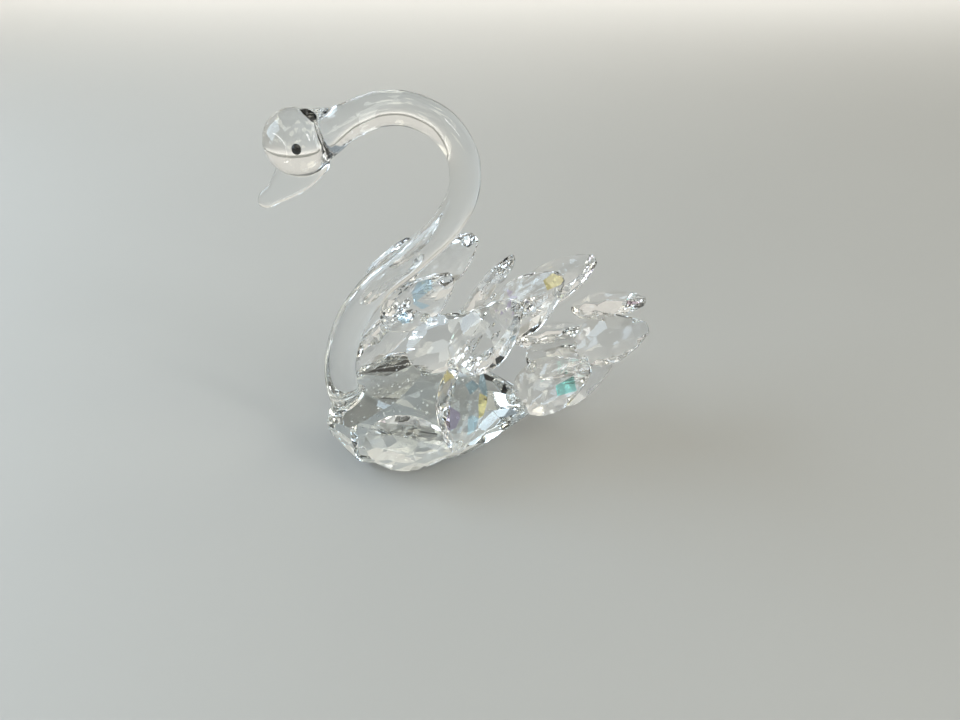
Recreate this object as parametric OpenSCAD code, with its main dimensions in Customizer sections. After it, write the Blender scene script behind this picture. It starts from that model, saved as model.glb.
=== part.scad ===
// Clear crystal swan: a faceted teardrop body, a lampworked glass neck with the head,
// and cut leaf crystals glued on as wings and tail. Swan faces -X, its left side is -Y.

/* [Body] */
// Length of the body from chest to tail end
body_len = 81; // [74:1:88]
// Greatest thickness of the body
body_dia = 44; // [40:1:48]
// Height of the body's axis above the surface it stands on
body_lift = 20; // [19:0.5:21]
// Upward slope of the body's axis towards the tail, in degrees
body_pitch = 3; // [2:1:5]
// Forward lean of the flat that the neck is glued to, in degrees
seat_lean = 28; // [24:1:32]

/* [Neck and head] */
// Thickness of the neck where it is glued to the chest
neck_base_dia = 12.8; // [12:0.2:14]
// Thickness of the neck at the top of its arch
neck_top_dia = 10.4; // [9.6:0.2:11.6]
// Diameter of the round head
head_dia = 21.2; // [20:0.2:22.5]
// Thickness of the pinched bill
bill_thick = 3.6; // [3:0.2:4.5]
// Diameter of an eye
eye_dia = 3.4; // [2.6:0.2:4]

/* [Leaf crystals] */
// Length of a wing leaf
wing_leaf_len = 36; // [34:1:37]
// Width of a wing leaf
wing_leaf_w = 22; // [20:1:22]
// Length of a tail leaf
tail_leaf_len = 30; // [28:1:31]
// Width of a tail leaf
tail_leaf_w = 19; // [17:1:19]
// Thickness of a leaf across its faces
leaf_t = 7; // [6:0.5:7]
// Width of the small flat at a leaf's point
leaf_tip = 2.6; // [2:0.2:3]
// Thickness of a leaf's edge
leaf_girdle = 1.2; // [1:0.1:1.6]

/* [Hidden] */

// Every sub-part is placed from a local origin on the body's axis, a little ahead of its middle.
// This shift puts the middle of the whole swan's footprint at the origin.
centre_x = -29.3;
centre_y = -0.5;
chest_x = -26;
tail_x = chest_x + body_len;
wide_x = 5;
body_r = body_dia / 2;
body_sides = 12;
// Where the middle of the neck meets the chest flat
seat_x = -18.5;
seat_z = 5.5;
// Side of the cube that cuts the body's flats, larger than the body
cutter = 180;

clear = [0.86, 0.91, 0.92, 0.55];
frost = [0.93, 0.95, 0.95, 0.6];

function lerp(a, b, t) = a + (b - a) * t;

// ---- body ----
// Radius of the teardrop at a station along its axis: blunt chest, long tapering tail
function body_radius(x) =
    x < wide_x
        ? body_r * pow(1 - pow((wide_x - x) / (wide_x - chest_x), 3.5), 0.4)
        : body_r * (1 - 0.93 * pow((x - wide_x) / (tail_x - wide_x), 2.4));

body_stations = [
    for (u = [0.01, 0.07, 0.2, 0.42, 0.72]) lerp(chest_x, wide_x, u),
    for (u = [0.02, 0.2, 0.38, 0.55, 0.72, 0.87, 1]) lerp(wide_x, tail_x, u)
];

// Triangles between ring i and ring i + 1 of n points each, and the two end caps
function band_faces(rings, n) = [
    for (i = [0 : rings - 2], j = [0 : n - 1])
        let (a = i * n + j, b = i * n + (j + 1) % n, c = a + n, d = b + n)
        each [[a, c, b], [b, c, d]]
];
function start_cap(n) = [[for (j = [0 : n - 1]) j]];
function end_cap(rings, n) = [[for (j = [n - 1 : -1 : 0]) (rings - 1) * n + j]];

module teardrop() {
    n = body_sides;
    rings = len(body_stations);
    points = [
        for (i = [0 : rings - 1], j = [0 : n - 1])
            let (a = (j + (i % 2) / 2) * 360 / n, r = body_radius(body_stations[i]))
            [body_stations[i], r * cos(a), r * sin(a)]
    ];
    polyhedron(points, concat(start_cap(n), band_faces(rings, n), end_cap(rings, n)));
}

module body_shape() {
    difference() {
        rotate([0, -body_pitch, 0]) teardrop();
        // flat polished foot
        translate([-cutter / 2, -cutter / 2, -body_lift - cutter]) cube(cutter);
        // sloping flat that carries the neck
        translate([seat_x, 0, seat_z]) rotate([0, -seat_lean, 0])
            translate([-cutter / 2, -cutter / 2, 0]) cube(cutter);
    }
}

// ---- neck and head ----
// Middle line of the neck in the plane of symmetry, as [x, z], from the chest to the head
neck_line = [
    [seat_x, seat_z], [-20, 19], [-15.5, 38], [-4, 57], [12, 71.5], [24.5, 85],
    [30, 100], [26, 114], [16, 121.4], [6, 122.6], [-4, 119.5], [-12, 115]
];
head_x = -22.6;
head_z = 112.2;
head_r = head_dia / 2;
neck_sides = 16;
// Rings between one point of the line and the next
steps = 4;

function spline(p, i, t) =
    let (
        a = p[max(i - 1, 0)], b = p[i], c = p[i + 1], d = p[min(i + 2, len(p) - 1)],
        m = (c - a) / 2, k = (d - b) / 2
    )
    (2 * pow(t, 3) - 3 * t * t + 1) * b + (pow(t, 3) - 2 * t * t + t) * m
    + (3 * t * t - 2 * pow(t, 3)) * c + (pow(t, 3) - t * t) * k;

neck_path = [
    for (i = [0 : len(neck_line) - 2], s = [0 : steps - 1]) spline(neck_line, i, s / steps),
    neck_line[len(neck_line) - 1]
];
neck_rings = len(neck_path);

// Thickness tapers from the chest to the arch and swells again at the head
function neck_radius(u) =
    u < 0.55
        ? lerp(neck_base_dia, neck_top_dia, u / 0.55) / 2
        : lerp(neck_top_dia, neck_top_dia * 1.12, pow((u - 0.55) / 0.45, 2)) / 2;

function path_angle(i) =
    i == 0
        ? 90 + seat_lean
        : let (d = neck_path[min(i + 1, neck_rings - 1)] - neck_path[i - 1]) atan2(d[1], d[0]);

// The neck's rings turn the other way round from the body's, so its faces run the other way
function tube_caps(rings, n) = [
    [for (j = [n - 1 : -1 : 0]) j],
    [for (j = [0 : n - 1]) (rings - 1) * n + j]
];
function tube_faces(rings, n) = [
    for (i = [0 : rings - 2], j = [0 : n - 1])
        let (a = i * n + j, b = i * n + (j + 1) % n, c = a + n, d = b + n)
        each [[a, b, c], [b, d, c]]
];

module neck_tube() {
    n = neck_sides;
    points = [
        for (i = [0 : neck_rings - 1], j = [0 : n - 1])
            let (r = neck_radius(i / (neck_rings - 1)), a = j * 360 / n, t = path_angle(i))
            [
                neck_path[i][0] - r * cos(a) * sin(t),
                r * sin(a),
                neck_path[i][1] + r * cos(a) * cos(t)
            ]
    ];
    polyhedron(points, concat(tube_caps(neck_rings, n), tube_faces(neck_rings, n)));
}

module ball(x, z, r) {
    translate([x, 0, z]) sphere(r = r, $fn = 24);
}

// The bill is pinched flat out of the soft glass under the head
module bill() {
    t = bill_thick / 2;
    hull() {
        ball(-14, 106.5, t);
        ball(-20, 100.5, t);
        ball(-28, 102, t);
    }
    hull() {
        ball(-20, 100.5, t);
        ball(-28, 102, t);
        ball(-30, 97.5, t);
        ball(-29, 95, t);
    }
    hull() {
        ball(-30, 97.5, t);
        ball(-29, 95, t);
        ball(-37.4, 91.4, t * 0.8);
    }
}

// side is -1 on the left and 1 on the right; an eye sinks 0.9 mm deep into the head
module eye_ball(side) {
    rise = 8;
    back = 12;
    translate([head_x, 0, head_z])
        rotate([rise * side, 0, -back * side])
            translate([0, side * (head_r - 0.9), 0])
                scale([1, 0.7, 1]) sphere(d = eye_dia, $fn = 24);
}

module neck_head_shape() {
    difference() {
        union() {
            neck_tube();
            translate([head_x, 0, head_z]) sphere(r = head_r, $fn = 32);
            bill();
        }
        eye_ball(1);
        eye_ball(-1);
    }
}

// ---- leaf crystals ----
// Half width of a leaf's outline at distance x from its round end
function leaf_half(x, long, wide) =
    let (m = 0.42 * long)
    x < m
        ? wide / 2 * sqrt(1 - pow((m - x) / m, 2))
        : leaf_tip / 2 + (wide - leaf_tip) / 2 * (1 - pow((x - m) / (long - m), 1.8));

// Outline stations: u runs from the round end to the point
leaf_u = [0.02, 0.1, 0.24, 0.42, 0.6, 0.78, 0.92, 1];
function leaf_outline(long, wide) = [
    for (u = leaf_u) [u * long, leaf_half(u * long, long, wide)],
    for (i = [len(leaf_u) - 1 : -1 : 0]) [leaf_u[i] * long, -leaf_half(leaf_u[i] * long, long, wide)]
];

// Each ring is the outline shrunk towards the thickest spot and raised: [shrink, height]
leaf_rings = [[0.12, 1], [0.45, 0.9], [0.76, 0.58]];

module leaf(long, wide) {
    outline = leaf_outline(long, wide);
    n = len(outline);
    mid = [0.45 * long, 0];
    g = leaf_girdle / 2;
    levels = concat(
        [for (r = leaf_rings) [r[0], lerp(g, leaf_t / 2, r[1])]],
        [[1, g], [1, -g]],
        [for (i = [len(leaf_rings) - 1 : -1 : 0]) [leaf_rings[i][0], -lerp(g, leaf_t / 2, leaf_rings[i][1])]]
    );
    points = [
        for (v = levels, p = outline)
            let (q = mid + (p - mid) * v[0]) [q[0], q[1], v[1]]
    ];
    polyhedron(points, concat(start_cap(n), band_faces(len(levels), n), end_cap(len(levels), n)));
}

// Where each leaf sits: [x, y, z] of its round end, then [tilt, climb, heading] in degrees.
// Heading turns the leaf to the swan's right, climb lifts its point, tilt rolls it about its length.
left_flank = [[-9.5, -26, 7], [60, -3, 0]];
left_cover = [[30, -9.4, 34], [-42, -54, -101]];
left_shoulder = [[6, 1, 25], [47, 26, 5]];
left_middle = [[25, -15.5, 33.5], [45, 48, 9]];
left_rear = [[39, 6, 35], [45, 44, 0]];
right_flank = [[-9.5, 27, 4], [-60, -3, 0]];
right_shoulder = [[-16, 11, 14.5], [-75, 35, 28]];
right_front = [[-9, 23.5, 34.5], [-60, 60, 0]];
right_upper = [[-3, 12, 31.5], [-80, 40, 6]];
right_high = [[6, 20, 43.5], [-80, 40, 8]];
right_middle = [[29, 17.5, 32.5], [-25, 60, -12]];
right_rear = [[48, 15, 41.5], [10, 30, 8]];
tail_lower = [[47.5, -6.5, 10.5], [50, 37, -12]];
tail_inner = [[55, 4, 5], [40, 28, 0]];
tail_left_tip = [[70, -3, 33], [50, 30, -15]];
tail_right_tip = [[70, 15, 40], [0, 18, -20]];
tail_centre = [[52, 4, 23.5], [35, 2, 0]];
tail_right = [[48, 20, 20], [-10, 12, 0]];

wing_size = [wing_leaf_len, wing_leaf_w];
tail_size = [tail_leaf_len, tail_leaf_w];

module set_leaf(place, size) {
    translate(place[0]) rotate([place[1][0], -place[1][1], place[1][2]]) leaf(size[0], size[1]);
}
module wing_leaf(place) {
    color(clear) placed() set_leaf(place, wing_size);
}
module tail_leaf(place) {
    color(clear) placed() set_leaf(place, tail_size);
}

module left_wing_flank_leaf() { wing_leaf(left_flank); }
module left_wing_cover_leaf() { wing_leaf(left_cover); }
module left_wing_shoulder_leaf() { wing_leaf(left_shoulder); }
module left_wing_middle_leaf() { wing_leaf(left_middle); }
module left_wing_rear_leaf() { wing_leaf(left_rear); }
module right_wing_flank_leaf() { wing_leaf(right_flank); }
module right_wing_shoulder_leaf() { wing_leaf(right_shoulder); }
module right_wing_front_leaf() { wing_leaf(right_front); }
module right_wing_upper_leaf() { wing_leaf(right_upper); }
module right_wing_high_leaf() { wing_leaf(right_high); }
module right_wing_middle_leaf() { wing_leaf(right_middle); }
module right_wing_rear_leaf() { wing_leaf(right_rear); }
module tail_lower_leaf() { wing_leaf(tail_lower); }
module tail_inner_leaf() { wing_leaf(tail_inner); }
module tail_left_tip_leaf() { tail_leaf(tail_left_tip); }
module tail_right_tip_leaf() { tail_leaf(tail_right_tip); }
module tail_centre_leaf() { tail_leaf(tail_centre); }
module tail_right_leaf() { tail_leaf(tail_right); }

// ---- cured adhesive ----
// Each bead of adhesive is [x, y, z, radius]. Body and leaves are cut out of the beads.
left_wing_beads = [
    [7.8, -20.9, 7.6, 2.6], [13.8, -2.6, 21.8, 2.4], [26.6, -25.9, 6.7, 2], [24.8, -13.9, 34.5, 2.2],
    [28.4, 8.1, 41.7, 2], [39.9, 12.8, 46.4, 1.8], [52.2, 8.1, 42.9, 1.8]
];
right_wing_beads = [
    [5.6, 21.5, 5.9, 2.6], [-6.9, 17.8, 11.5, 2.4], [-2.7, 13, 31.8, 2.2], [14.5, 17.5, 48.5, 2.2],
    [6, 21.4, 52.1, 2.2], [13.7, 10.4, 37.8, 2.2]
];
tail_beads = [
    [47.5, -3.8, 9.5, 3.2], [54.5, 1, 3.8, 3.2], [56.3, -1.3, 21.8, 2], [73.6, -9.2, 32.4, 1.8],
    [78, 5, 21.9, 1.8], [77.8, 1.8, 44.5, 1.8], [63.8, 11.3, 25.8, 1.8]
];
left_wing_places = [
    left_flank, left_cover, left_shoulder, left_middle, left_rear, right_middle, right_rear
];
right_wing_places = [right_flank, right_shoulder, right_front, right_upper, right_high, left_shoulder];
tail_places = [tail_lower, tail_inner];
tail_tip_places = [tail_left_tip, tail_right_tip, tail_centre, tail_right];

module beads(list) {
    for (b = list) translate([b[0], b[1], b[2]]) sphere(r = b[3], $fn = 12);
}
module glue(list, wing_places, tip_places) {
    difference() {
        beads(list);
        body_shape();
        for (p = wing_places) set_leaf(p, wing_size);
        for (p = tip_places) set_leaf(p, tail_size);
    }
}
// Thin fillet around the foot of the neck
fillet_h = 1.8;
module neck_fillet() {
    difference() {
        translate([seat_x, 0, seat_z]) rotate([0, -seat_lean, 0])
            cylinder(d1 = neck_base_dia + 4, d2 = neck_base_dia + 0.6, h = fillet_h, $fn = 32);
        neck_tube();
    }
}

// ---- whole ----
module placed() {
    translate([centre_x, centre_y, body_lift]) children();
}
module body() { color(clear) placed() body_shape(); }
module neck_head() { color(clear) placed() neck_head_shape(); }
module eye_left() { color("black") placed() eye_ball(-1); }
module eye_right() { color("black") placed() eye_ball(1); }
module neck_glue() { color(frost) placed() neck_fillet(); }
module left_wing_glue() { color(frost) placed() glue(left_wing_beads, left_wing_places, []); }
module right_wing_glue() { color(frost) placed() glue(right_wing_beads, right_wing_places, []); }
module tail_glue() { color(frost) placed() glue(tail_beads, tail_places, tail_tip_places); }

body();
neck_head();
eye_left();
eye_right();
left_wing_flank_leaf();
left_wing_cover_leaf();
left_wing_shoulder_leaf();
left_wing_middle_leaf();
left_wing_rear_leaf();
right_wing_flank_leaf();
right_wing_shoulder_leaf();
right_wing_front_leaf();
right_wing_upper_leaf();
right_wing_high_leaf();
right_wing_middle_leaf();
right_wing_rear_leaf();
tail_lower_leaf();
tail_inner_leaf();
tail_left_tip_leaf();
tail_right_tip_leaf();
tail_centre_leaf();
tail_right_leaf();
neck_glue();
left_wing_glue();
right_wing_glue();
tail_glue();
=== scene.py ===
# %% [markdown]
# # A swan of cut crystal
# The real ornament is put together from three kinds of glass. The body is one heavy crystal, ground
# flat facet by flat facet into a teardrop. The neck, head and bill are a single clear rod that was
# softened in a flame and bent, and the feathers of the wings and the tail are leaf-shaped crystals,
# all cut alike, glued on by hand. The frame already holds a plain solid of each piece, in its
# true place and size, so this lesson only has to give every piece its real surface.

# %% Open the frame
import math
import random

import bmesh
import bpy
import numpy as np
from mathutils import Matrix, Vector


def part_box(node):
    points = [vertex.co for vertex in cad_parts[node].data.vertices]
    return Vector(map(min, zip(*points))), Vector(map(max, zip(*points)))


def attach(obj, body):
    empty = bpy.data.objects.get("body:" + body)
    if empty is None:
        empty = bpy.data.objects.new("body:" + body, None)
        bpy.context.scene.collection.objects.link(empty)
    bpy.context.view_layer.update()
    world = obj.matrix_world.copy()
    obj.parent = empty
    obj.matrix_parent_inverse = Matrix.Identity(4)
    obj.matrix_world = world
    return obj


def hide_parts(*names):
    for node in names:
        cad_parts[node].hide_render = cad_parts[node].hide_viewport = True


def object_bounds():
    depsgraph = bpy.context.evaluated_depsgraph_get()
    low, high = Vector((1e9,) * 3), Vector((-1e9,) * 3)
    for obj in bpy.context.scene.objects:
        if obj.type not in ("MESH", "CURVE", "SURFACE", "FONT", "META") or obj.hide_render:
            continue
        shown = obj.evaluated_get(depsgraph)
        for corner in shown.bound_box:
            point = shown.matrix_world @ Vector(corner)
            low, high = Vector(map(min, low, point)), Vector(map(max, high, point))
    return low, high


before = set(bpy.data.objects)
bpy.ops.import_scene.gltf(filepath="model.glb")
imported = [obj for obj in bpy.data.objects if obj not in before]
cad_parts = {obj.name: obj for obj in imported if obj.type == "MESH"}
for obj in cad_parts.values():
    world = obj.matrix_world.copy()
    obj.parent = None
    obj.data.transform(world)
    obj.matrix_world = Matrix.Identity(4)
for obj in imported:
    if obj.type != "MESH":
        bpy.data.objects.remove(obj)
cad_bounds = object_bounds()
print("frame box in mm:", [[round(c * 1000, 1) for c in corner] for corner in cad_bounds])

# %% [markdown]
# ## Reference points
# The leaves, the neck and the body are all measured from one point on the body's axis. The tip of
# the bill is the swan's foremost point, so that reference point lies a known distance behind it.
# Lengths are written in millimetres, as on a drawing, and turned into metres by `MM`.

# %% Units and the reference point
MM = 0.001
BODY_LIFT = 20 * MM
BILL_REACH = 38.84 * MM
neck_low, neck_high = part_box("neck_head")
REFERENCE = Vector((neck_low.x + BILL_REACH, (neck_low.y + neck_high.y) / 2, BODY_LIFT))


def at(x, y, z):
    """A point given in millimetres from the reference point."""
    return REFERENCE + Vector((x, y, z)) * MM


print("reference point in mm:", [round(c / MM, 2) for c in REFERENCE])

# %% [markdown]
# ## Small tools
# An operator acts on whatever is selected, so a piece is always made active with everything else
# deselected. Corners are then chosen in code by where they lie, as by a box drawn round them.


# %% Selecting and applying
def only(piece):
    if bpy.context.object and bpy.context.object.mode != "OBJECT":
        bpy.ops.object.mode_set(mode="OBJECT")
    bpy.ops.object.select_all(action="DESELECT")
    piece.select_set(True)
    bpy.context.view_layer.objects.active = piece


def added(name):
    """Names the primitive that was just added and returns it."""
    piece = bpy.context.object
    piece.name = name
    piece.data.name = name
    return piece


def edit(piece):
    only(piece)
    bpy.ops.object.mode_set(mode="EDIT")
    bpy.ops.mesh.select_mode(type="VERT")
    bpy.ops.mesh.select_all(action="SELECT")


def choose(piece, test):
    """Selects the corners whose place passes the test."""
    shape = bmesh.from_edit_mesh(piece.data)
    for corner in shape.verts:
        corner.select_set(test(corner.co))
    shape.select_flush(True)
    bmesh.update_edit_mesh(piece.data)


def settle(piece):
    """Puts the piece's place, turn and size into its mesh."""
    only(piece)
    bpy.ops.object.transform_apply(location=True, rotation=True, scale=True)


def apply_modifier(piece, kind, **values):
    only(piece)
    modifier = piece.modifiers.new(kind.title(), kind)
    for key, value in values.items():
        setattr(modifier, key, value)
    bpy.ops.object.modifier_apply(modifier=modifier.name)


def tell(piece):
    piece.data.calc_loop_triangles()
    size = [round(d / MM, 1) for d in piece.dimensions]
    print(f"{piece.name}: {len(piece.data.loop_triangles)} triangles, {size} mm")


# %% [markdown]
# ## Grinding
# A crystal cutter presses the blank on a flat wheel at one angle after another. The bisect operator
# does the same: it cuts the mesh with a plane, throws away what is outside and closes the cut with
# one flat face. Every facet made this way is truly flat, which is what makes crystal sparkle.


# %% Grind one facet
CLOSE = 1e-7
MERGE = 0.01 * MM
EDGE = 0.2 * MM
EDGE_ANGLE = 0.03


def grind(point, normal):
    bpy.ops.mesh.select_all(action="SELECT")
    bpy.ops.mesh.bisect(
        plane_co=point, plane_no=normal, use_fill=True, clear_outer=True, threshold=CLOSE
    )


def polish(piece):
    """Closes the cuts, takes a hair off every sharp edge and leaves each facet flat."""
    bpy.ops.mesh.select_all(action="SELECT")
    bpy.ops.mesh.remove_doubles(threshold=MERGE)
    bpy.ops.mesh.normals_make_consistent(inside=False)
    apply_modifier(
        piece, "BEVEL", width=EDGE, segments=1, limit_method="ANGLE", angle_limit=EDGE_ANGLE
    )
    bpy.ops.object.shade_flat()


print("ground edges are", round(EDGE / MM, 2), "mm wide")

# %% [markdown]
# ## The leaf crystal
# Each feather is the same cut leaf: round at one end, drawn to a short blunt point at the other.
# Front and back are low domes of the same height. The front is ground in a square grid of facets
# inside a ring of short steep ones, and the back in longer facets set like bricks. One pattern seen
# through the other looks busy and broken. A plane that touches a dome cuts one facet, so the domes
# come from a list of touching points, each tilted a little, as the hand does.


# %% Outline of a leaf
WIDEST = 0.42
BLUNT_TIP = 3.4 * MM
TIP_FALL = 1.8


def leaf_half_width(x, long, wide):
    """Half the leaf's width at a distance x from its round end."""
    widest = WIDEST * long
    if x < widest:
        return wide / 2 * math.sqrt(max(0.0, 1 - ((widest - x) / widest) ** 2))
    fall = ((x - widest) / (long - widest)) ** TIP_FALL
    return BLUNT_TIP / 2 + (wide - BLUNT_TIP) / 2 * (1 - fall)


print("a leaf is widest at", WIDEST, "of its length and ends", round(BLUNT_TIP / MM, 1), "mm wide")


# %% Blank of a leaf
RIM_CORNERS = 32


def leaf_blank(name, long, wide, thick):
    """A plate of the leaf's outline, lying along X with its middle at the origin."""
    bpy.ops.mesh.primitive_circle_add(vertices=RIM_CORNERS, radius=long / 2, fill_type="NGON")
    blank = added(name)
    edit(blank)
    bpy.ops.transform.rotate(value=math.pi / 2, orient_axis="Z", center_override=(0, 0, 0))
    near = long / 500
    for step in range(1, RIM_CORNERS // 2):
        angle = 2 * math.pi * step / RIM_CORNERS
        x = long / 2 * math.cos(angle)
        choose(blank, lambda c: abs(c.x - x) < near)
        wanted = leaf_half_width(x + long / 2, long, wide)
        bpy.ops.transform.resize(
            value=(1, wanted / (long / 2 * math.sin(angle)), 1), center_override=(0, 0, 0)
        )
    bpy.ops.mesh.select_all(action="SELECT")
    bpy.ops.mesh.extrude_region_move(TRANSFORM_OT_translate={"value": (0, 0, thick)})
    bpy.ops.mesh.select_all(action="SELECT")
    bpy.ops.transform.translate(value=(0, 0, -thick / 2))
    bpy.ops.mesh.normals_make_consistent(inside=False)
    return blank


# %% Facets of a leaf
GIRDLE = 0.5 * MM
RIM_SLOPE = math.radians(47)
RIM_FACETS = 22
FRONT_CELL = (5.4 * MM, 4.2 * MM)
BACK_CELL = (8.2 * MM, 4.6 * MM)
BY_HAND = 0.075
OUTLINE_STEPS = 120


def rim_point(angle, long, wide):
    """The point of the leaf's outline that lies farthest in one direction."""
    way = Vector((math.cos(angle), math.sin(angle)))
    best = None
    for step in range(OUTLINE_STEPS + 1):
        x = long * step / OUTLINE_STEPS
        half = leaf_half_width(x, long, wide)
        for side in (-1, 1):
            spot = Vector((x - long / 2, side * half))
            if best is None or spot.dot(way) > best.dot(way):
                best = spot
    return best


def grind_rim(long, wide):
    """The ring of short steep facets that brightens the rim of the front."""
    outward, upward = math.sin(RIM_SLOPE), math.cos(RIM_SLOPE)
    for step in range(RIM_FACETS):
        angle = 2 * math.pi * step / RIM_FACETS
        spot = rim_point(angle, long, wide)
        way = (math.cos(angle) * outward, math.sin(angle) * outward, upward)
        grind((spot.x, spot.y, GIRDLE), way)


def grind_dome(long, wide, thick, cell, side):
    """Facets that touch a low dome; side is 1 for the front and -1 for the back."""
    rise = thick / 2 - GIRDLE
    dice = random.Random(side)
    columns = int(long / cell[0]) + 1
    rows = int(wide / cell[1]) + 1
    for i in range(-columns, columns + 1):
        for j in range(-rows, rows + 1):
            x = i * cell[0] if side == 1 else (i + j % 2 / 2) * cell[0]
            y = j * cell[1]
            reach = (2 * x / long) ** 2 + (2 * y / wide) ** 2
            if reach > 1.0:
                continue
            lean = dice.uniform(-BY_HAND, BY_HAND)
            tip = dice.uniform(-BY_HAND, BY_HAND)
            normal = (8 * rise * x / long**2 + lean, 8 * rise * y / wide**2 + tip, side)
            grind((x, y, side * (thick / 2 - rise * reach)), normal)


def cut_leaf(name, long, wide, thick):
    leaf = leaf_blank(name, long, wide, thick)
    grind_rim(long, wide)
    grind_dome(long, wide, thick, FRONT_CELL, 1)
    grind_dome(long, wide, thick, BACK_CELL, -1)
    polish(leaf)
    tell(leaf)
    return leaf


# %% [markdown]
# ## Where each leaf goes
# The plain solid of every leaf in the frame shows its own directions: it spreads most along its
# length, less across its width and least through its thickness. Measuring that spread gives the
# leaf's axes, so no angle has to be typed in twice. The pointed end lies farther from the middle.


# %% Read a leaf's place from the frame
BODY_MIDDLE = at(12, 0, 0)


def leaf_place(node):
    """The leaf's length, width, thickness and the matrix that takes the cut leaf there."""
    corners = np.array([v.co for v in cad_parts[node].data.vertices])
    corners = np.unique(np.round(corners, 5), axis=0)
    middle = corners.mean(0)
    axes = np.linalg.eigh(np.cov((corners - middle).T))[1]
    through, long = axes[:, 0], axes[:, 2]
    along = (corners - middle) @ long
    if along.max() < -along.min():
        long = -long
    if (middle - np.array(BODY_MIDDLE)) @ through < 0:
        through = -through
    across = np.cross(through, long)
    turn = np.array([long, across, through])
    local = corners @ turn.T
    low, high = local.min(0), local.max(0)
    size = high - low
    centre = turn.T @ ((low + high) / 2)
    matrix = Matrix([[*turn[:, row], centre[row]] for row in range(3)] + [[0, 0, 0, 1]])
    return size, matrix


# %% [markdown]
# ## Painted flashes of split light
# Cut crystal splits daylight, so here and there one facet shows a pure blue, gold or green. The
# shader doesn't split light, so these flashes are painted light: a face attribute paints the colour
# of split light on single facets. Nearly all facets are plain, a few placed ones get a painted
# flash, and small ones now and then get one by chance.
# A placed flash is given by side, and by its share of the half length and half width. The cut mesh
# has its facets in a different order each time, so they are first sorted along a slanting line, on
# which mirrored facets don't tie. Otherwise the chance flashes would move from run to run.


# %% Paint flashes of split light on a few facets
GOLD = (1.0, 0.76, 0.2, 1)
SKY = (0.5, 0.78, 1.0, 1)
SEA = (0.25, 0.95, 0.85, 1)
ROSE = (1.0, 0.62, 0.75, 1)
LILAC = (0.74, 0.6, 1.0, 1)
PLAIN = (1.0, 1.0, 1.0, 1)
FLASH_AREA = (3, 12)
FLASH_SHARE = 0.03
SORT_LINE = Vector((0.83, 0.47, 0.31))
FLASH_SPOTS = {
    "left_wing_cover_leaf": [
        (1, -0.07, 0.78, GOLD), (1, -0.43, 0.08, SKY), (1, -0.44, 0.78, SKY),
        (1, 0.27, -0.44, LILAC), (1, 0.35, 0.3, SKY)
    ],
    "tail_lower_leaf": [(-1, 0.27, 0.37, SEA)],
    "left_wing_rear_leaf": [(1, 0.8, -0.05, GOLD)],
    "tail_right_tip_leaf": [(1, 0.69, -0.36, ROSE)],
    "right_wing_upper_leaf": [
        (-1, 0.34, -0.5, SKY), (-1, 0.07, -0.12, SKY), (-1, -0.46, -0.01, SKY)
    ],
}


def paint_flash_facets(piece, spots, long, wide):
    """Paints flashes of split light, as painted colour, on the facets nearest to the given spots,
    and on a few others by chance.
    """
    dice = random.Random(piece.name)
    # Painted light: this face colour stands in for daylight split by the cut facets, not a colour of
    # the glass.
    tint = piece.data.attributes.new("facet_tint", "FLOAT_COLOR", "FACE")
    facets = [f for f in piece.data.polygons if FLASH_AREA[0] < f.area / MM**2]
    facets.sort(key=lambda f: f.center.dot(SORT_LINE))
    for value in tint.data:
        value.color = PLAIN
    for facet in facets:
        if facet.area / MM**2 < FLASH_AREA[1] and dice.random() < FLASH_SHARE:
            tint.data[facet.index].color = dice.choice((GOLD, SKY, SEA, ROSE, LILAC))
    for side, along, across, colour in spots:
        spot = Vector((along * long / 2, across * wide / 2))
        facing = [f for f in facets if f.center.z * side > 0]
        nearest = min(facing, key=lambda f: (f.center.xy - spot).length)
        tint.data[nearest.index].color = colour


print("placed flashes:", sum(len(spots) for spots in FLASH_SPOTS.values()))

# %% [markdown]
# ## Materials
# Clear glass is a Principled shader that lets everything through. Lead crystal bends light more
# than rod glass, so it has the higher index. Finger grease in small specks is all that roughens
# the polish, and white dust lies on the faces of the body that look up, so there the glass lets
# less light through. Rod glass and adhesive have a slight ripple, because they were once soft.

# %% Node helpers
SPECK_EDGE = 0.06


def new_material(name):
    material = bpy.data.materials.new(name)
    material.use_nodes = True
    tree = material.node_tree
    return material, tree, tree.nodes["Principled BSDF"]


def object_noise(tree, scale, detail):
    place = tree.nodes.new("ShaderNodeTexCoord")
    noise = tree.nodes.new("ShaderNodeTexNoise")
    noise.inputs["Scale"].default_value = scale
    noise.inputs["Detail"].default_value = detail
    tree.links.new(place.outputs["Object"], noise.inputs["Vector"])
    return noise


def rise(tree, value, start, end, low=0.0, high=1.0):
    """Goes from low to high as the value goes from start to end."""
    ramp = tree.nodes.new("ShaderNodeMapRange")
    ramp.inputs["From Min"].default_value = start
    ramp.inputs["From Max"].default_value = end
    ramp.inputs["To Min"].default_value = low
    ramp.inputs["To Max"].default_value = high
    tree.links.new(value, ramp.inputs["Value"])
    return ramp


def specks(tree, scale, least, low, high):
    """A value that is low nearly everywhere and rises to high in small specks."""
    noise = object_noise(tree, scale, 2.0)
    ramp = rise(tree, noise.outputs["Fac"], least, least + SPECK_EDGE, low, high)
    return ramp.outputs["Result"]


def ripple(tree, shader, scale, strength, distance):
    """The faint waves of a surface that once flowed."""
    noise = object_noise(tree, scale, 1.0)
    bump = tree.nodes.new("ShaderNodeBump")
    bump.inputs["Strength"].default_value = strength
    bump.inputs["Distance"].default_value = distance
    tree.links.new(noise.outputs["Fac"], bump.inputs["Height"])
    tree.links.new(bump.outputs["Normal"], shader.inputs["Normal"])


# %% Dust
DUST_CELLS = 340
DUST_RADIUS = 0.17
DUST_SOFT = 0.6
DUST_FROM = 0.35
DUST_FULL = 0.75


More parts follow.
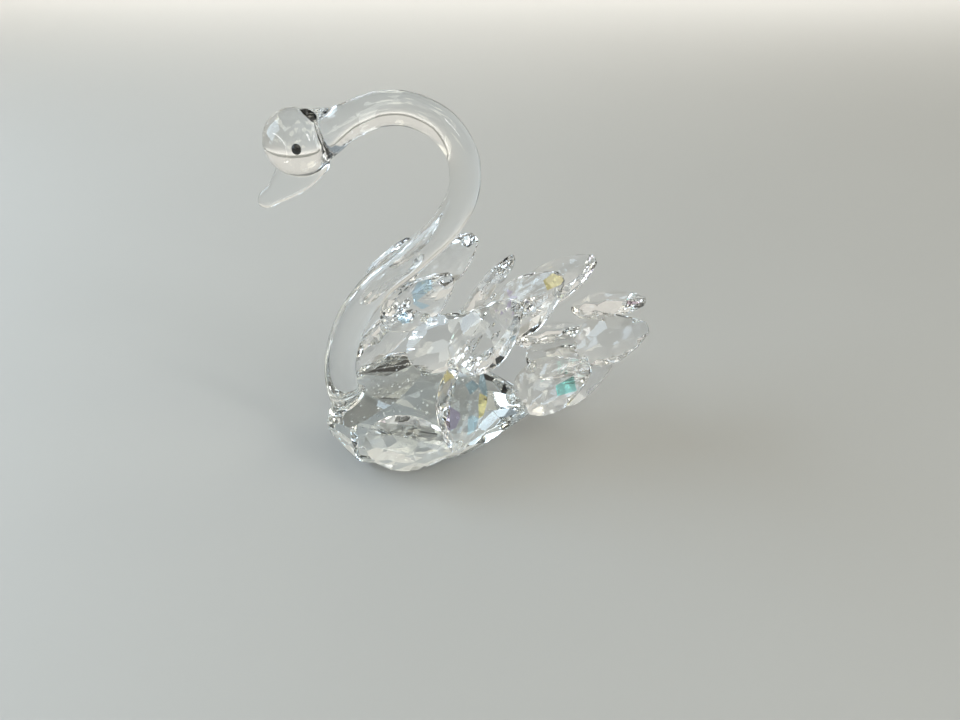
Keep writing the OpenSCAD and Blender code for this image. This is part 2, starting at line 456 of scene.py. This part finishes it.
def settle_dust(tree, shader):
    """White motes, too small to wipe off, on surfaces that face upwards."""
    place = tree.nodes.new("ShaderNodeTexCoord")
    cells = tree.nodes.new("ShaderNodeTexVoronoi")
    cells.inputs["Scale"].default_value = DUST_CELLS
    tree.links.new(place.outputs["Object"], cells.inputs["Vector"])
    mote = rise(tree, cells.outputs["Distance"], DUST_RADIUS, DUST_RADIUS * DUST_SOFT)
    surface = tree.nodes.new("ShaderNodeNewGeometry")
    facing = tree.nodes.new("ShaderNodeSeparateXYZ")
    tree.links.new(surface.outputs["Normal"], facing.inputs["Vector"])
    level = rise(tree, facing.outputs["Z"], DUST_FROM, DUST_FULL)
    minus = tree.nodes.new("ShaderNodeMath")
    minus.operation = "MULTIPLY"
    minus.inputs[1].default_value = -1.0
    clear = tree.nodes.new("ShaderNodeMath")
    clear.operation = "MULTIPLY_ADD"
    clear.inputs[2].default_value = 1.0
    tree.links.new(mote.outputs["Result"], minus.inputs[0])
    tree.links.new(minus.outputs["Value"], clear.inputs[0])
    tree.links.new(level.outputs["Result"], clear.inputs[1])
    tree.links.new(clear.outputs["Value"], shader.inputs["Transmission Weight"])


print("dust motes to a centimetre:", round(DUST_CELLS / 100, 1))


# %% Cut crystal
CRYSTAL_INDEX = 1.58
BODY_CLEAR = (0.955, 0.985, 0.975)


def crystal(name, colour, tinted):
    material, tree, shader = new_material(name)
    shader.inputs["Base Color"].default_value = (*colour, 1)
    shader.inputs["Transmission Weight"].default_value = 1.0
    shader.inputs["IOR"].default_value = CRYSTAL_INDEX
    if tinted:
        # Painted light: the leaves' base colour takes the painted flashes of split daylight from the
        # faces.
        tint = tree.nodes.new("ShaderNodeAttribute")
        tint.attribute_name = "facet_tint"
        tree.links.new(tint.outputs["Color"], shader.inputs["Base Color"])
    else:
        settle_dust(tree, shader)
    grease = specks(tree, scale=900, least=0.71, low=0.0, high=0.25)
    tree.links.new(grease, shader.inputs["Roughness"])
    return material


body_crystal = crystal("cut crystal, body", BODY_CLEAR, tinted=False)
leaf_crystal = crystal("cut crystal, leaves", PLAIN[:3], tinted=True)
print("made", body_crystal.name, "and", leaf_crystal.name)


# %% Flame-worked glass, adhesive and eye glass
GLASS_INDEX = 1.5
ADHESIVE_INDEX = 1.47


def rod_glass():
    material, tree, shader = new_material("flame worked glass")
    shader.inputs["Base Color"].default_value = (0.985, 0.99, 0.99, 1)
    shader.inputs["Transmission Weight"].default_value = 1.0
    shader.inputs["IOR"].default_value = GLASS_INDEX
    shader.inputs["Roughness"].default_value = 0.0
    ripple(tree, shader, scale=120, strength=0.12, distance=0.4 * MM)
    return material


def cured_adhesive():
    material, tree, shader = new_material("cured adhesive")
    shader.inputs["Base Color"].default_value = (0.98, 0.985, 0.97, 1)
    shader.inputs["Transmission Weight"].default_value = 1.0
    shader.inputs["IOR"].default_value = ADHESIVE_INDEX
    cloud = specks(tree, scale=600, least=0.55, low=0.03, high=0.25)
    tree.links.new(cloud, shader.inputs["Roughness"])
    ripple(tree, shader, scale=700, strength=0.3, distance=0.2 * MM)
    return material


def black_glass():
    material, tree, shader = new_material("black eye glass")
    shader.inputs["Base Color"].default_value = (0.006, 0.005, 0.005, 1)
    shader.inputs["IOR"].default_value = GLASS_INDEX
    shader.inputs["Coat Weight"].default_value = 0.6
    grease = specks(tree, scale=1500, least=0.6, low=0.04, high=0.2)
    tree.links.new(grease, shader.inputs["Roughness"])
    return material


lamp_glass = rod_glass()
adhesive = cured_adhesive()
eye_glass = black_glass()
print("made", lamp_glass.name + ",", adhesive.name, "and", eye_glass.name)


# %% [markdown]
# ## Handing a piece over
# A finished piece gets its material and rides on a body, and the plain solids it replaces are
# hidden.
# Nothing on this swan moves, so everything rides on the one body of the frame.


# %% Finish a piece
def finish(piece, material, slot, *nodes):
    piece.data.materials.clear()
    piece.data.materials.append(material)
    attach(piece, "root")
    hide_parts(*nodes)
    tell(piece)


# %% [markdown]
# ## The feathers
# The eighteen leaves come in two sizes, a large one and a small one for four leaves of the tail.
# Each size is cut once and copied, each copy with a mesh of its own. The leaves are cut a hair
# smaller than their solids, so that the tilted facets stay inside the frame's box.

# %% Cut and place every leaf
LEAF_SHARE = 0.985
leaf_nodes = [n for n in sorted(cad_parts) if n.endswith("_leaf")]
patterns = {}
for node in leaf_nodes:
    size, matrix = leaf_place(node)
    size = [float(length) * LEAF_SHARE for length in size]
    key = round(size[0] / MM)
    if key not in patterns:
        patterns[key] = cut_leaf(f"pattern_{key}", *size)
    leaf = bpy.data.objects.new(node.replace("_leaf", "_crystal"), patterns[key].data.copy())
    bpy.context.scene.collection.objects.link(leaf)
    paint_flash_facets(leaf, FLASH_SPOTS.get(node, []), size[0], size[1])
    leaf.data.transform(matrix)
    finish(leaf, leaf_crystal, "leaf_crystal", node)
for pattern in patterns.values():
    bpy.data.objects.remove(pattern)

# %% [markdown]
# ## The body
# The blank is a cylinder. Facets are ground on it in rows from the blunt chest to the narrow tail.
# Each row is turned by half a facet against the last, so the rows meet in zigzags, and every facet
# just touches the smooth teardrop that the body would be if it were never cut.

# %% Shape of the teardrop
CHEST_X = -26
TAIL_X = 55
WIDE_X = 5
BODY_RADIUS = 22
CHEST_BULGE = 3.5
CHEST_ROUND = 0.4
TAIL_THIN = 0.93
TAIL_DROP = 2.4
PITCH = math.radians(3)
FLATS = 11
FLAT_IN = 0.98
FACET_ROWS = [-24.5, -19, -9, 3, 15, 28, 41]


def body_radius(x):
    if x < WIDE_X:
        ahead = (WIDE_X - x) / (WIDE_X - CHEST_X)
        return BODY_RADIUS * (1 - ahead ** CHEST_BULGE) ** CHEST_ROUND
    behind = (x - WIDE_X) / (TAIL_X - WIDE_X)
    return BODY_RADIUS * (1 - TAIL_THIN * behind ** TAIL_DROP)


print("body radius by row, mm:", [round(body_radius(x), 1) for x in FACET_ROWS])


# %% Grind the body
SEAT = at(-18.5, 0, 5.5)
SEAT_LEAN = math.radians(28)
SEAT_NORMAL = Vector((-math.sin(SEAT_LEAN), 0, math.cos(SEAT_LEAN)))
BLANK_RADIUS = 30 * MM
SLOPE_STEP = 0.1


def cut_body():
    bpy.ops.mesh.primitive_cylinder_add(
        vertices=32, radius=BLANK_RADIUS, depth=(TAIL_X - CHEST_X) * MM
    )
    body = added("body_crystal")
    edit(body)
    bpy.ops.transform.rotate(value=math.pi / 2, orient_axis="Y", center_override=(0, 0, 0))
    bpy.ops.transform.translate(value=((TAIL_X + CHEST_X) / 2 * MM, 0, 0))
    for row, x in enumerate(FACET_ROWS):
        radius = body_radius(x) * FLAT_IN
        rise_here = body_radius(x + SLOPE_STEP) - body_radius(x - SLOPE_STEP)
        slope = rise_here / (2 * SLOPE_STEP)
        for step in range(FLATS):
            angle = 2 * math.pi * (step + row % 2 / 2) / FLATS
            spot = (x * MM, radius * math.cos(angle) * MM, radius * math.sin(angle) * MM)
            grind(spot, (-slope, math.cos(angle), math.sin(angle)))
    only(body)
    body.data.transform(Matrix.Translation(REFERENCE) @ Matrix.Rotation(-PITCH, 4, "Y"))
    edit(body)
    grind((0, 0, 0), (0, 0, -1))
    grind(SEAT, SEAT_NORMAL)
    polish(body)
    return body


finish(cut_body(), body_crystal, "cut_crystal", "body")

# %% [markdown]
# ## Neck, head and bill
# The glassworker bends a hot rod, gathers its end into a ball and pinches the bill flat. A curve
# with a round profile gives the bent rod, a sphere the ball, a second short curve the web between
# them, and a flat closed curve the bill. Voxel remesh then melts them into one skin, and smoothing
# rounds the joins as the flame does.

# %% Bend the rod
NECK_LINE = [
    (-20.1, -3, 6.4), (-19.5, 5, 6.4), (-20, 19, 6.25), (-15.5, 38, 6.0), (-4, 57, 5.75),
    (12, 71.5, 5.5), (24.5, 85, 5.3), (30, 100, 5.2), (26, 114, 5.2), (16, 121.4, 5.2),
    (6, 122.6, 5.3), (-4, 119.5, 5.5), (-9, 116.9, 5.9), (-13.5, 114.2, 6.7),
    (-17.5, 112.6, 8.2), (-21, 112.2, 9.5)
]
WEB_LINE = [(-22, 119.5, 3.2), (-14.5, 119.9, 2.9), (-6, 120.6, 2.4)]


def bent_rod(name, points):
    """A round rod along points of x, z and radius, in the swan's middle plane."""
    bpy.ops.curve.primitive_nurbs_path_add()
    rod = added(name)
    rod.data.splines.clear()
    spline = rod.data.splines.new("BEZIER")
    spline.bezier_points.add(len(points) - 1)
    for point, (x, z, radius) in zip(spline.bezier_points, points):
        point.co = at(x, 0, z)
        point.radius = radius
        point.handle_left_type = point.handle_right_type = "AUTO"
    spline.resolution_u = 16
    rod.data.dimensions = "3D"
    rod.data.bevel_depth = 1 * MM
    rod.data.bevel_resolution = 8
    rod.data.use_fill_caps = True
    only(rod)
    bpy.ops.object.convert(target="MESH")
    return bpy.context.object


# %% Gather the head and pinch the bill
HEAD = (-22.6, 112.2)
HEAD_RADIUS = 10.5
BILL_OUTLINE = [
    (-30.2, 101.5), (-33.2, 96.8), (-36.7, 93.4), (-36.9, 91.5), (-32, 92.8), (-26, 95.4),
    (-21.2, 98.2), (-17.6, 101.4), (-14.6, 105.8), (-18, 109), (-26, 108)
]
BILL_HALF = 1.5


def head_ball():
    bpy.ops.mesh.primitive_uv_sphere_add(
        segments=48, ring_count=32, radius=HEAD_RADIUS * MM, location=at(HEAD[0], 0, HEAD[1])
    )
    return added("head_ball")


def pinched_bill():
    bpy.ops.curve.primitive_bezier_circle_add(rotation=(math.pi / 2, 0, 0), location=REFERENCE)
    bill = added("pinched_bill")
    bill.data.dimensions = "2D"
    bill.data.splines.clear()
    spline = bill.data.splines.new("BEZIER")
    spline.bezier_points.add(len(BILL_OUTLINE) - 1)
    for point, (x, z) in zip(spline.bezier_points, BILL_OUTLINE):
        point.co = (x * MM, z * MM, 0)
        point.handle_left_type = point.handle_right_type = "AUTO"
    spline.use_cyclic_u = True
    bill.data.fill_mode = "BOTH"
    bill.data.bevel_depth = BILL_HALF * MM
    bill.data.bevel_resolution = 6
    only(bill)
    bpy.ops.object.convert(target="MESH")
    bill = bpy.context.object
    settle(bill)
    edit(bill)
    bpy.ops.mesh.remove_doubles(threshold=MERGE)
    bpy.ops.mesh.normals_make_consistent(inside=False)
    only(bill)
    return bill


# %% Melt them into one piece
MELT = 0.4 * MM
CREASE = math.radians(50)


def neck_and_head():
    parts = [bent_rod("neck_glass", NECK_LINE), bent_rod("web", WEB_LINE)]
    parts += [head_ball(), pinched_bill()]
    neck = parts[0]
    only(neck)
    for part in parts[1:]:
        part.select_set(True)
    bpy.ops.object.join()
    apply_modifier(neck, "REMESH", mode="VOXEL", voxel_size=MELT)
    apply_modifier(neck, "SMOOTH", factor=0.5, iterations=12)
    edit(neck)
    grind(SEAT, -SEAT_NORMAL)
    only(neck)
    bpy.ops.object.shade_smooth_by_angle(angle=CREASE)
    return neck


finish(neck_and_head(), lamp_glass, "lampworked_glass", "neck_head")

# %% [markdown]
# ## Eyes
# An eye is a dot of black glass pressed into the head while it is hot, so it is a flattened bead.

# %% Press in the eyes
BEAD_LONG = 0.86
BEAD_HIGH = 0.98


def eye_bead(node):
    low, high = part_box(node)
    size = high - low
    centre = (low + high) / 2
    bpy.ops.mesh.primitive_uv_sphere_add(
        segments=32, ring_count=16, radius=0.5, location=centre
    )
    bead = added(node.replace("eye", "bead"))
    edit(bead)
    bpy.ops.transform.resize(
        value=(size.x * BEAD_LONG, size.y, size.z * BEAD_HIGH), center_override=centre
    )
    only(bead)
    settle(bead)
    bpy.ops.object.shade_smooth()
    finish(bead, eye_glass, "eye_glass", node)


for eye in ("eye_left", "eye_right"):
    eye_bead(eye)

# %% [markdown]
# ## Adhesive
# The crystals are held by a clear adhesive that creeps into the gaps and sets with a few bubbles.
# The frame's adhesive solids fit the gaps exactly, so a copy of each is melted to round its edges,
# and bubbles are small hollows inside: spheres whose faces look inwards.

# %% Bubbles in the adhesive
BUBBLES_EACH = 14
BUBBLE_LEAST = 0.12
BUBBLE_MOST = 0.3
BUBBLE_DEPTH = 0.15 * MM


def add_bubbles(piece, count):
    dice = random.Random(piece.name)
    corners = [v.co.copy() for v in piece.data.vertices]
    normals = [v.normal.copy() for v in piece.data.vertices]
    hollows = []
    for _ in range(count):
        pick = dice.randrange(len(corners))
        radius = dice.uniform(BUBBLE_LEAST, BUBBLE_MOST) * MM
        spot = corners[pick] - normals[pick] * (radius + BUBBLE_DEPTH)
        bpy.ops.mesh.primitive_ico_sphere_add(subdivisions=2, radius=radius, location=spot)
        hollow = added("hollow")
        edit(hollow)
        bpy.ops.mesh.flip_normals()
        only(hollow)
        bpy.ops.object.shade_smooth()
        hollows.append(hollow)
    only(piece)
    for hollow in hollows:
        hollow.select_set(True)
    bpy.ops.object.join()


# %% Cure the adhesive
CURE_MELT = 0.22 * MM
CURE_MERGE = 0.001 * MM


def cured(node):
    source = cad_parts[node]
    piece = bpy.data.objects.new(node + "_cured", source.data.copy())
    bpy.context.scene.collection.objects.link(piece)
    edit(piece)
    bpy.ops.mesh.remove_doubles(threshold=CURE_MERGE)
    only(piece)
    apply_modifier(piece, "REMESH", mode="VOXEL", voxel_size=CURE_MELT)
    apply_modifier(piece, "SMOOTH", factor=0.5, iterations=5)
    bpy.ops.object.shade_smooth()
    add_bubbles(piece, BUBBLES_EACH)
    finish(piece, adhesive, "clear_adhesive", node)


for glue in ("neck_glue", "left_wing_glue", "right_wing_glue", "tail_glue"):
    cured(glue)

# %% [markdown]
# ## Table, light and camera
# Clear glass shows only what is around it, so the light matters as much as the shape. The table is
# plain and pale. A cool window lights the swan from the left, a soft lamp behind brightens the far
# end of the table, and a weak ceiling lamp and a narrow strip fill in from above and from the right.

# %% Table
TABLE_TONES = ((0.50, 0.50, 0.497, 1), (0.54, 0.54, 0.537, 1))
TABLE_SIZE = 6


def between(tree, value, low, high):
    """Goes from one colour to the other as the value goes from 0 to 1."""
    blend = tree.nodes.new("ShaderNodeMix")
    blend.data_type = "RGBA"
    blend.inputs["A"].default_value = low
    blend.inputs["B"].default_value = high
    tree.links.new(value, blend.inputs["Factor"])
    return blend


def pale_table():
    bpy.ops.mesh.primitive_plane_add(size=TABLE_SIZE)
    table = added("table")
    material, tree, shader = new_material("pale table")
    mottle = object_noise(tree, scale=3, detail=3.0)
    tone = between(tree, mottle.outputs["Fac"], *TABLE_TONES)
    tree.links.new(tone.outputs["Result"], shader.inputs["Base Color"])
    shader.inputs["Roughness"].default_value = 0.6
    table.data.materials.append(material)
    tell(table)


pale_table()

# %% Lights
COOL = (0.72, 0.87, 1.0)
WARM = (1.0, 0.96, 0.9)
NEUTRAL = (1.0, 0.98, 0.95)
BRIGHT = (1.0, 0.99, 0.97)
HALF_ROUND = 180


def soft_light(name, place, target, size, power, colour, spread=HALF_ROUND):
    """A rectangular lamp of a width and height in metres that shines at the target."""
    light = bpy.data.lights.new(name, "AREA")
    light.shape = "RECTANGLE"
    light.size, light.size_y = size
    light.energy = power
    light.color = colour
    light.spread = math.radians(spread)
    lamp = bpy.data.objects.new(name, light)
    bpy.context.scene.collection.objects.link(lamp)
    lamp.location = place
    way = Vector(target) - Vector(place)
    lamp.rotation_euler = way.to_track_quat("-Z", "Y").to_euler()
    print(f"{name} light: {power} W from {round(way.length, 2)} m")


middle = (Vector(cad_bounds[0]) + Vector(cad_bounds[1])) / 2
far_table = (0, 0.95, 0)
soft_light("window", (-0.75, 0.05, 0.5), middle, (0.6, 0.6), power=5, colour=COOL)
soft_light("back", (0, 1.25, 0.5), far_table, (2.4, 0.3), power=4, colour=WARM, spread=70)
soft_light("ceiling", (0.35, -0.35, 1.3), middle, (0.7, 0.7), power=1.5, colour=NEUTRAL)
soft_light("strip", (0.9, -0.55, 0.65), middle, (0.12, 0.5), power=2, colour=BRIGHT)

# %% [markdown]
# ## The room
# Facets need something dark and something bright to bend, which is why black and white cards are
# stood round glass in a studio. Here the room itself does that. It is a pattern of dark, dim and
# bright panes, cooler on the left and warmer on the right, with a plain cream wall behind the
# swan. Only the eye is spared the pattern: where it looks past the table, it sees the cream.

# %% Panes of light and dark
PANE_TONES = [(0.0, 0.02), (0.35, 0.07), (0.6, 0.3), (0.74, 1.0), (0.87, 3.4)]
PANE_SCALE = 5.0
COOL_SIDE = (0.82, 0.95, 1.04, 1)
WARM_SIDE = (1.07, 1.03, 0.84, 1)
COOL_UNTIL = -0.9
WARM_FROM = 0.0


def pane_tones(tree, direction):
    """A brightness for each pane, picked by the pane's own random colour."""
    cells = tree.nodes.new("ShaderNodeTexVoronoi")
    cells.inputs["Scale"].default_value = PANE_SCALE
    tree.links.new(direction, cells.inputs["Vector"])
    pick = tree.nodes.new("ShaderNodeSeparateColor")
    tree.links.new(cells.outputs["Color"], pick.inputs["Color"])
    tones = tree.nodes.new("ShaderNodeValToRGB")
    tones.color_ramp.interpolation = "CONSTANT"
    while len(tones.color_ramp.elements) < len(PANE_TONES):
        tones.color_ramp.elements.new(0.5)
    for stop, (start, tone) in zip(tones.color_ramp.elements, PANE_TONES):
        stop.position = start
        stop.color = (tone, tone, tone, 1)
    tree.links.new(pick.outputs["Red"], tones.inputs["Fac"])
    return tones


def tint_sides(tree, panes, sides):
    """The panes, bluish on the left and yellowish on the right."""
    warmth = rise(tree, sides.outputs["X"], COOL_UNTIL, WARM_FROM)
    colour = between(tree, warmth.outputs["Result"], COOL_SIDE, WARM_SIDE)
    tinted = tree.nodes.new("ShaderNodeMix")
    tinted.data_type = "RGBA"
    tinted.blend_type = "MULTIPLY"
    tinted.inputs["Factor"].default_value = 1.0
    tree.links.new(panes.outputs["Color"], tinted.inputs["A"])
    tree.links.new(colour.outputs["Result"], tinted.inputs["B"])
    return tinted


print("pane brightnesses:", [tone for start, tone in PANE_TONES])

# %% Cream wall behind the swan
WALL_CREAM = (0.72, 0.7, 0.64, 1)
WALL_BEHIND = (0.25, 0.45)
WALL_TOP = (0.75, 0.6)


def cream_wall(tree, panes, sides):
    """The panes, with cream in their place behind the swan and below the wall's top."""
    behind = rise(tree, sides.outputs["Y"], *WALL_BEHIND)
    behind.interpolation_type = "SMOOTHSTEP"
    under = rise(tree, sides.outputs["Z"], *WALL_TOP)
    under.interpolation_type = "SMOOTHSTEP"
    both = tree.nodes.new("ShaderNodeMath")
    both.operation = "MULTIPLY"
    tree.links.new(behind.outputs["Result"], both.inputs[0])
    tree.links.new(under.outputs["Result"], both.inputs[1])
    walled = between(tree, both.outputs["Value"], WALL_CREAM, WALL_CREAM)
    tree.links.new(panes.outputs["Result"], walled.inputs["A"])
    return walled


def studio_room():
    """Panes and a cream wall for the glass and the table, plain cream for the eye."""
    world = bpy.data.worlds.new("studio room")
    world.use_nodes = True
    tree = world.node_tree
    place = tree.nodes.new("ShaderNodeTexCoord")
    direction = place.outputs["Generated"]
    sides = tree.nodes.new("ShaderNodeSeparateXYZ")
    tree.links.new(direction, sides.inputs["Vector"])
    tinted = tint_sides(tree, pane_tones(tree, direction), sides)
    walled = cream_wall(tree, tinted, sides)
    room = tree.nodes["Background"]
    tree.links.new(walled.outputs["Result"], room.inputs["Color"])
    plain = tree.nodes.new("ShaderNodeBackground")
    plain.inputs["Color"].default_value = WALL_CREAM
    path = tree.nodes.new("ShaderNodeLightPath")
    seen = tree.nodes.new("ShaderNodeMixShader")
    tree.links.new(path.outputs["Is Camera Ray"], seen.inputs["Fac"])
    tree.links.new(room.outputs["Background"], seen.inputs[1])
    tree.links.new(plain.outputs["Background"], seen.inputs[2])
    tree.links.new(seen.outputs["Shader"], tree.nodes["World Output"].inputs["Surface"])
    bpy.context.scene.world = world
    print("room made of", len(tree.nodes), "nodes")


studio_room()

# %% Follow light through many layers of glass
GLASS_LAYERS = 32
MIRROR_LAYERS = 12
light_paths = bpy.context.scene.cycles
light_paths.max_bounces = GLASS_LAYERS
light_paths.transmission_bounces = GLASS_LAYERS
light_paths.glossy_bounces = MIRROR_LAYERS
bpy.context.scene.view_settings.view_transform = "Standard"
print("light is followed through", GLASS_LAYERS, "surfaces")

# %% Camera
CAMERA_BACK = 220.1
CAMERA_SIDE = 34.8
CAMERA_UP = 197.4
LOOK_DOWN = math.radians(38)
LENS = 27.04

camera = bpy.data.cameras.new("camera")
camera.lens = LENS
camera.sensor_width = 36
camera.clip_start = 0.01
viewer = bpy.data.objects.new("camera", camera)
bpy.context.scene.collection.objects.link(viewer)
viewer.location = at(CAMERA_SIDE, -CAMERA_BACK, CAMERA_UP)
viewer.rotation_euler = (math.pi / 2 - LOOK_DOWN, 0, 0)
bpy.context.scene.camera = viewer
print("camera stands", [round(c, 3) for c in viewer.location])
